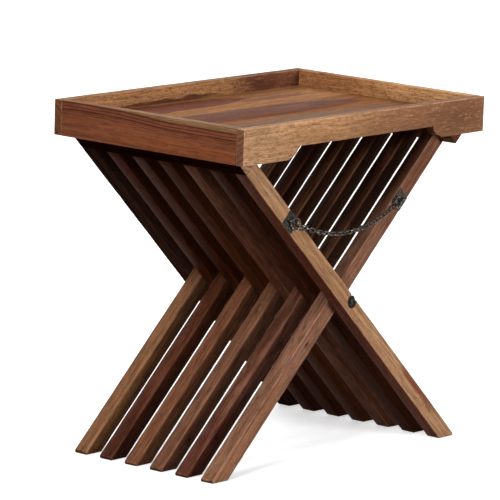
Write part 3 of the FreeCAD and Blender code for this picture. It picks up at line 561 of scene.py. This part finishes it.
def board_materials():
    """The material of each board, by the name of its CAD node."""
    materials = {
        "tray_front_rail": wood(
            "front_rail_wood", LONG_FRONT, TAN, 1.3, pith=(-110, 60), rings=230, warp=9, lines=0.2,
            fleck=0.42, speckle=0.5, figure=0.4, reach=0.55, worn_and_lit=0.3, knots=[(232, 545, 42, 60)],
            patches=[((60, 545), (260, 60), rgb(172, 120, 76), 0.7, 0.6),
                     ((262, 541), (290, 90), rgb(126, 80, 54), 0.9, 0.85)]),
        "tray_back_rail": wood(
            "back_rail_wood", LONG_BACK, GOLD, 2.9, pith=(-70, -60), rings=210, warp=11, lines=0.4,
            fleck=0.5, speckle=0.6, figure=0.45, reach=0.8, knots=[(180, 556, 34, 60)],
            end_tone=rgb(101, 60, 38),
            patches=[((250, 556), (120, 40), rgb(112, 62, 42), 0.85, 0.5),
                     # A dark strip just above the floor: painted shade in the corner where rail and
                     # floor meet.
                     ((-60, 545), (120, 4), rgb(82, 40, 28), 0.9, 0.5)]),
        "tray_left_rail": wood(
            "left_rail_wood", SHORT_LEFT, RED, 4.2, pith=(-260, -40), rings=150, warp=2.0,
            lines=0.2,
            flow=[(0, -10), (0.17, -10), (0.33, -8), (0.55, -4), (0.7, -1), (0.85, 1), (1, 0)],
            bands=[(26.4, 1.3, 0.95), (20.5, 1.4, 0.75), (16.0, 1.8, 0.9), (10, 5, 0.6)],
            fleck=0.3, speckle=0.08, worn_and_lit=0.12, sap=(28.4, rgb(150, 116, 80), rgb(124, 90, 60)),
            patches=[((-60, 524), (150, 11), rgb(158, 84, 46), 0.6, 0.8)]),
        "tray_right_rail": wood(
            "right_rail_wood", SHORT_RIGHT, GOLD, 5.7, pith=(-90, 60), rings=300, warp=4,
            lines=0.08, fleck=0.45, speckle=0.6, figure=0.4, reach=0.8,
            patches=[((150, 555), (110, 60), rgb(144, 92, 56), 0.6, 0.9),
                     ((-110, 555), (130, 60), rgb(204, 154, 104), 0.6, 0.9)]),
        "floor_plank_front": wood(
            "front_plank_wood", PLANK_FRONT, TAN, 6.4, pith=(-30, -130), rings=190, warp=7,
            lines=0.25, fleck=0.45, speckle=0.2),
        "floor_plank_middle": wood(
            "middle_plank_wood", PLANK_MIDDLE, STRAW, 7.1, pith=(4, -34), rings=230, warp=12,
            lines=0.3, fleck=0.4, speckle=0.15, knots=[(150, 20, 15, 12)],
            patches=[((-60, 22), (330, 41), rgb(134, 86, 66), 0.95, 0.16)]),
        "floor_plank_back": wood(
            "back_plank_wood", PLANK_BACK, STRAW, 8.6, pith=(8, -40), rings=230, warp=12,
            lines=0.35, fleck=0.4, speckle=0.2,
            patches=[((-180, 140), (270, 36), rgb(128, 68, 50), 0.95, 0.16),
                     ((150, 118), (90, 9), rgb(124, 70, 52), 0.7, 0.4)]),
        "top_rail_a": wood(
            "top_rail_a_wood", RAIL_A, DUSK_SHADED, 9.3, sheen=0.0, worn_and_lit=0.2, end_tone=rgb(160, 118, 94)),
        "top_rail_b": wood("top_rail_b_wood", RAIL_B, BROWN, 10.2, sheen=0.015),
    }
    for number, (name, (tones, more)) in enumerate(SLAT_TONES.items()):
        settings = {
            "pith": (35 + 9 * (number % 4), 20 - 11 * (number % 3)),
            "rings": 260 + 30 * (number % 3),
            "warp": 4 + number % 3,
            "sheen": 0.015,
            "reach": 2.0,
            "worn_and_lit": 0.5 if name.endswith("_1") else 0.3,
            "figure": 0.45 if "_b_" in name else 0.25,
            **more,
        }
        materials[name] = wood(f"{name}_wood", SLAT, tones, 12.0 + 1.7 * number, **settings)
    return materials


# Iron

def iron(name, tint, bloom_tint, glint, seed=0.0, sheen=0.5):
    """Blackened iron with a dull bloom, and bright spots: partly rubbed iron, partly painted
    glints.
    """
    material, tree, shader = new_material(name)
    place = add(tree, "TexCoord", out=3)
    place = add(tree, "VectorMath", {0: place, 1: (seed, seed * 2, seed * 3)}, operation="ADD")
    bloom = spread(tree, grain_noise(tree, place, (160, 160, 160), 4.0, 0.6), 0.42, 0.66)
    rubbed_and_glinting = spread(tree, grain_noise(tree, place, (420, 420, 420), 2.0), 0.60, 0.70)
    colour = mix(tree, bloom, tint, bloom_tint)
    # Bright spots: partly rubbed iron, partly painted glints.
    colour = mix(tree, times(tree, rubbed_and_glinting, 0.8), colour, glint)
    shader.inputs["Metallic"].default_value = 0.7
    pits = grain_noise(tree, place, (900, 900, 900), 3.0)
    roughness = spread(tree, bloom, 0.0, 1.0, 0.36, 0.62)
    finish_shader(tree, shader, colour, roughness, sheen, pits, 0.4, 0.0004)
    return material


def dress_cad_nodes():
    """Gives the CAD nodes that stay their materials."""
    dowel = wood("dowel_wood", PLANK_FRONT, TAN, 33.0, worn_and_lit=0.0, by_object=True)
    chain = iron("blackened_iron", (0.014, 0.013, 0.010), (0.070, 0.062, 0.046), (0.55, 0.47, 0.36))
    plate = iron("blackened_plate", (0.008, 0.008, 0.007), (0.032, 0.031, 0.024),
                 (0.24, 0.21, 0.15), 0.4, 0.2)
    black = iron("black_iron", (0.006, 0.006, 0.006), (0.018, 0.018, 0.017),
                 (0.10, 0.10, 0.09), 0.7, 0.05)
    by_word = {"dowel": dowel, "plate": plate, "screw": plate, "pivot": black}
    for name, node in nodes.items():
        if node.hide_render:
            continue
        chosen = next((material for word, material in by_word.items() if word in name), chain)
        node.data.materials.clear()
        node.data.materials.append(chosen)


# Mesh helpers

def cut_short(bm):
    """Cuts a board across into short lengths."""
    low = min(v.co.x for v in bm.verts)
    high = max(v.co.x for v in bm.verts)
    count = max(2, round((high - low) / (CUT_EVERY * MM)))
    for index in range(1, count):
        cut_x = low + (high - low) * index / count
        bmesh.ops.bisect_plane(bm, geom=bm.verts[:] + bm.edges[:] + bm.faces[:],
                               plane_co=(cut_x, 0, 0), plane_no=(1, 0, 0), dist=1e-6)
    bm.normal_update()


def wear_down(bm, wear, seed):
    """Makes a board's faces a little uneven and chips its edges."""
    for vert in bm.verts:
        x, y, z = vert.co * 1000
        along, across = UNEVEN_SPAN
        rise = noise.noise(Vector((x / along + seed, y / across, z / across + seed)))
        push = UNEVEN * rise - PLANED
        if max(abs(c) for c in vert.normal) < FLAT_NORMAL:
            along, across = CHIP_SPAN
            chip = noise.noise(Vector((x / along + seed, y / across + 3, z / across)))
            push -= wear * max(0.0, chip)
        vert.co += vert.normal * push * MM


def recessed(piece, sign):
    """Sinks the nut's recess into an outer face."""
    bpy.ops.mesh.primitive_cylinder_add(vertices=64, radius=RECESS_RADIUS * MM,
                                        depth=2 * RECESS_DEPTH * MM)
    cutter = bpy.context.object
    cutter.rotation_euler = (math.radians(90), 0, 0)
    cutter.location = Vector((PIVOT[0], sign * BASE_HALF, PIVOT[1])) * MM
    modifier = piece.modifiers.new("recess", "BOOLEAN")
    modifier.object = cutter
    modifier.operation = "DIFFERENCE"
    modifier.solver = "EXACT"
    bpy.context.view_layer.update()
    graph = bpy.context.evaluated_depsgraph_get()
    mesh = bpy.data.meshes.new_from_object(piece.evaluated_get(graph))
    piece.modifiers.clear()
    piece.data = mesh
    bpy.data.objects.remove(cutter)


def mark_grain(mesh, into_board):
    """Keeps each point's place in the board, and which faces are end grain."""
    grain = mesh.attributes.new("grain", "FLOAT_VECTOR", "POINT")
    for vertex in mesh.vertices:
        grain.data[vertex.index].vector = into_board @ vertex.co
    turn = into_board.to_3x3()
    end = mesh.attributes.new("end", "FLOAT", "FACE")
    for polygon in mesh.polygons:
        is_end = abs((turn @ polygon.normal).x) > END_NORMAL
        end.data[polygon.index].value = 1.0 if is_end else 0.0


def board_piece(node, bm, matrix, material, body, wear=BOARD_WEAR, seed=0.0, recess=None):
    """A board from a mesh in its own axes, worn, put in its place and set for a CAD node."""
    cut_short(bm)
    wear_down(bm, wear, seed)
    bm.transform(matrix)
    name = f"{node}_board"
    mesh = bpy.data.meshes.new(name)
    bm.to_mesh(mesh)
    bm.free()
    piece = bpy.data.objects.new(name, mesh)
    bpy.context.scene.collection.objects.link(piece)
    for polygon in mesh.polygons:
        polygon.use_smooth = True
    if recess is not None:
        recessed(piece, recess)
        mesh = piece.data
    mesh.set_sharp_from_angle(angle=SHARP_ANGLE)
    mark_grain(mesh, matrix.inverted())
    mesh.materials.clear()
    mesh.materials.append(material)
    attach(piece, body)
    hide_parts(node)
    return piece


def prism(outline, start, end, axis):
    """A solid between two places along an axis (0 or 2); the outline lies across it, in mm."""
    bm = bmesh.new()
    rings = []
    for place in (start, end):
        corners = [(place, a, b) if axis == 0 else (a, b, place) for a, b in outline]
        rings.append([bm.verts.new(Vector(corner) * MM) for corner in corners])
    first, last = rings
    bm.faces.new(list(reversed(first)))
    bm.faces.new(last)
    for index in range(len(first)):
        following = (index + 1) % len(first)
        bm.faces.new((first[index], first[following], last[following], last[index]))
    bmesh.ops.recalc_face_normals(bm, faces=bm.faces)
    return bm


def eased(bm, width, segments=2, sharper_than=30):
    """Rounds the sharp edges of a prism."""
    edges = [e for e in bm.edges if e.calc_face_angle(0) > math.radians(sharper_than)]
    bmesh.ops.bevel(bm, geom=edges, offset=width * MM, segments=segments, profile=0.5,
                    affect="EDGES", clamp_overlap=True)
    return bm


def frame_matrix(along, across, origin=(0, 0, 0)):
    """Local X along, local Y across, at an origin in mm."""
    along, across = Vector(along).normalized(), Vector(across).normalized()
    matrix = Matrix((along, across, along.cross(across))).transposed().to_4x4()
    matrix.translation = Vector(origin) * MM
    return matrix


# The tray

def long_rail_outline():
    """The cut-out ends in a quarter round with a small step at each side."""
    centre_z = RAIL_FOOT + CUTOUT_QUIRK + CUTOUT_ROUND
    inner = math.sqrt(CUTOUT_ROUND ** 2 - (centre_z - FLOOR_UNDER) ** 2)
    stop = math.degrees(math.atan2(FLOOR_UNDER - centre_z, -inner))
    right = [(CUTOUT_HALF, RAIL_FOOT)]
    for index in range(CUTOUT_STEPS + 1):
        angle = math.radians(-90 + (stop + 90) * index / CUTOUT_STEPS)
        right.append((CUTOUT_HALF + CUTOUT_ROUND * math.cos(angle),
                      centre_z + CUTOUT_ROUND * math.sin(angle)))
    left = [(-x, z) for x, z in right]
    return [(-LONG_HALF, RAIL_FOOT), *left, *reversed(right), (LONG_HALF, RAIL_FOOT),
            (LONG_HALF, RIM), (-LONG_HALF, RIM)]


def tray(materials):
    """The four rails and the three planks of the floor."""
    # A long rail's local Z is -Y of the frame.
    upright = frame_matrix((1, 0, 0), (0, 0, 1))
    outline = long_rail_outline()
    for name, y in (("tray_front_rail", -DEPTH_HALF), ("tray_back_rail", INNER_Y)):
        bm = eased(prism(outline, -y - RAIL_THICK, -y, 2), RAIL_EDGE)
        board_piece(name, bm, upright, materials[name], "tray", seed=y / 7)

    sideways = frame_matrix((0, 1, 0), (0, 0, 1))
    short_half = INNER_Y - BUTT_GAP
    for name, x, slot in (("tray_left_rail", -LONG_HALF, "red_wood"),
                          ("tray_right_rail", INNER_X, "light_wood")):
        square = [(RAIL_FOOT, x), (RIM, x), (RIM, x + RAIL_THICK), (RAIL_FOOT, x + RAIL_THICK)]
        bm = eased(prism(square, -short_half, short_half, 0), SHORT_RAIL_EDGE)
        board_piece(name, bm, sideways, materials[name], "tray", seed=x / 9)

    flat = frame_matrix((1, 0, 0), (0, 1, 0))
    end = PLANK_HALF - PLANK_END_GAP
    planks = (("floor_plank_front", "light_wood"), ("floor_plank_middle", "brown_wood"),
              ("floor_plank_back", "brown_wood"))
    for (name, slot), low, high in zip(planks, PLANK_SIDES, PLANK_SIDES[1:]):
        near, far = low + PLANK_GAP, high - PLANK_GAP
        square = [(near, FLOOR_UNDER), (far, FLOOR_UNDER), (far, FLOOR_TOP), (near, FLOOR_TOP)]
        bm = eased(prism(square, -end, end, 0), PLANK_EDGE, 1)
        board_piece(name, bm, flat, materials[name], "tray", PLANK_WEAR, low / 5)


# The base: outlines in a slat's plane, along it and across it from the crossing

HALF_WIDTH = SLAT_WIDTH / 2
SHOULDER = math.hypot(CAP_X, RAIL_FOOT - CROSSING)
SLOPE = math.atan((RAIL_FOOT - CROSSING) / CAP_X) + math.asin(HALF_WIDTH / SHOULDER)
COS = math.cos(SLOPE)
SIN = math.sin(SLOPE)
RISE = FLOOR_UNDER - CROSSING
HEAD = (RISE - HALF_WIDTH * COS) / SIN
SLAT_END = HEAD - TOP_RAIL_DEPTH
TOE_X = FOOT_NOSE - CROSSING / math.tan(SLOPE) - HALF_WIDTH / SIN
SLAT_OUTLINE = [
    (SLAT_END, HALF_WIDTH),
    ((TOE_X + HALF_WIDTH * SIN) / COS, HALF_WIDTH),
    (TOE_X * COS - CROSSING * SIN, -TOE_X * SIN - CROSSING * COS),
    ((HALF_WIDTH * COS - CROSSING) / SIN, -HALF_WIDTH),
    (SLAT_END, -HALF_WIDTH),
]
RAIL_OUTLINE = [
    (SLAT_END, -HALF_WIDTH),
    (SLAT_END, HALF_WIDTH),
    (HEAD, HALF_WIDTH),
    (CAP_X * COS + RISE * SIN, RISE * COS - CAP_X * SIN),
    ((CAP_X - HALF_WIDTH * SIN) / COS, -HALF_WIDTH),
]
RECESSED = {"slat_a_1": -1, "slat_a_7": 1}


def base(materials):
    """Both sets of slats, whose rows lie in turn along the rod, and their top rails."""
    for row, (letter, count) in enumerate(SLAT_COUNTS.items()):
        body = f"frame_{letter}"
        sign = -1 if letter == "a" else 1
        up_slat = Vector((sign * COS, 0, SIN))
        across_slat = Vector((-sign * SIN, 0, COS))
        for index in range(count):
            name = f"slat_{letter}_{index + 1}"
            y = (2 * index + row) * PITCH - BASE_HALF + SLAT_THICK / 2
            matrix = frame_matrix(up_slat, across_slat, (0, y, CROSSING))
            bm = eased(prism(SLAT_OUTLINE, -SLAT_THICK / 2, SLAT_THICK / 2, 2), SLAT_EDGE)
            board_piece(name, bm, matrix, materials[name], body, seed=index * 3.7,
                        recess=RECESSED.get(name))

        # The top rail's grain runs along the rod: its local X is Y of the frame.
        corners = [up_slat * along + across_slat * across for along, across in RAIL_OUTLINE]
        outline = [(corner.z, corner.x) for corner in corners]
        bm = eased(prism(outline, -BASE_HALF, BASE_HALF, 0), SLAT_EDGE)
        matrix = frame_matrix((0, 1, 0), (0, 0, 1), (0, 0, CROSSING))
        name = f"top_rail_{letter}"
        board_piece(name, bm, matrix, materials[name], body, seed=sign * 5.0)


# Floor, light and camera

def seen_by_eye(tree):
    """1 for the rays that show the background: camera, reflection and transmission."""
    path = tree.nodes.new("ShaderNodeLightPath").outputs
    seen = larger(tree, path["Is Camera Ray"], path["Is Glossy Ray"])
    return larger(tree, seen, path["Is Transmission Ray"])


def floor_material():
    """White to the camera and in reflections, with the shadow kept; it throws little light up."""
    material, tree, shader = new_material("pale_floor")
    seen = seen_by_eye(tree)
    clouds = spread(tree, grain_noise(tree, add(tree, "TexCoord", out=3), (8, 8, 8)), 0.3, 0.7)
    pale = mix(tree, clouds, *FLOOR_PALE)
    tree.links.new(mix(tree, seen, FLOOR_FOR_LIGHT, pale), shader.inputs["Base Color"])
    shader.inputs["Roughness"].default_value = 0.8
    shader.inputs["Specular IOR Level"].default_value = 0.1
    shader.inputs["Emission Color"].default_value = (*WHITE, 1)
    tree.links.new(times(tree, seen, FLOOR_GLOW), shader.inputs["Emission Strength"])
    return material


def floor():
    bm = bmesh.new()
    bmesh.ops.create_grid(bm, x_segments=8, y_segments=8, size=FLOOR_HALF)
    mesh = bpy.data.meshes.new("floor")
    bm.to_mesh(mesh)
    bm.free()
    ground = bpy.data.objects.new("floor", mesh)
    ground.location = (0, 0, -FLOOR_DROP)
    bpy.context.scene.collection.objects.link(ground)
    mesh.materials.append(floor_material())


def studio():
    """White to the camera and in reflections, and a soft light from above on the object."""
    world = bpy.data.worlds.new("studio")
    bpy.context.scene.world = world
    world.use_nodes = True
    tree = world.node_tree
    up = separate(tree, add(tree, "TexCoord", out=0))[2]
    sky = mix(tree, spread(tree, up, 0.05, 0.85), SKY_LOW, SKY_HIGH)
    background = tree.nodes["Background"]
    tree.links.new(mix(tree, seen_by_eye(tree), sky, WHITE), background.inputs["Color"])


def lamp(name, source, strength, angle):
    """A broad soft lamp far away; its source is a direction from the object."""
    data = bpy.data.lights.new(name, "SUN")
    data.energy = strength
    data.angle = math.radians(angle)
    light = bpy.data.objects.new(name, data)
    light.location = Vector(source).normalized() * LAMP_DISTANCE
    light.rotation_euler = Vector(source).to_track_quat("Z", "Y").to_euler()
    bpy.context.scene.collection.objects.link(light)


def camera():
    yaw, pitch, roll = (math.radians(angle) for angle in CAMERA_TURN)
    ahead = Vector((math.sin(yaw) * math.cos(pitch), math.cos(yaw) * math.cos(pitch),
                    -math.sin(pitch)))
    right = Vector((math.cos(yaw), -math.sin(yaw), 0))
    up = right.cross(ahead)
    side = right * math.cos(roll) + up * math.sin(roll)
    top = up * math.cos(roll) - right * math.sin(roll)
    data = bpy.data.cameras.new("camera")
    data.sensor_fit = "HORIZONTAL"
    data.sensor_width = SENSOR
    data.lens = FOCAL_PIXELS / FRAME_PIXELS * SENSOR
    data.clip_start = 0.1
    data.clip_end = 100
    cam = bpy.data.objects.new("camera", data)
    matrix = Matrix((side, top, -ahead)).transposed().to_4x4()
    place = Vector(CAMERA_TARGET) - ahead * CAMERA_DISTANCE
    place = place - side * CAMERA_ASIDE + top * CAMERA_ABOVE
    matrix.translation = place * MM
    cam.matrix_world = matrix
    bpy.context.scene.collection.objects.link(cam)
    bpy.context.scene.camera = cam


boards = board_materials()
tray(boards)
base(boards)
dress_cad_nodes()
floor()
studio()
for lamp_row in LAMPS:
    lamp(*lamp_row)
camera()
bpy.context.scene.view_settings.view_transform = "Standard"
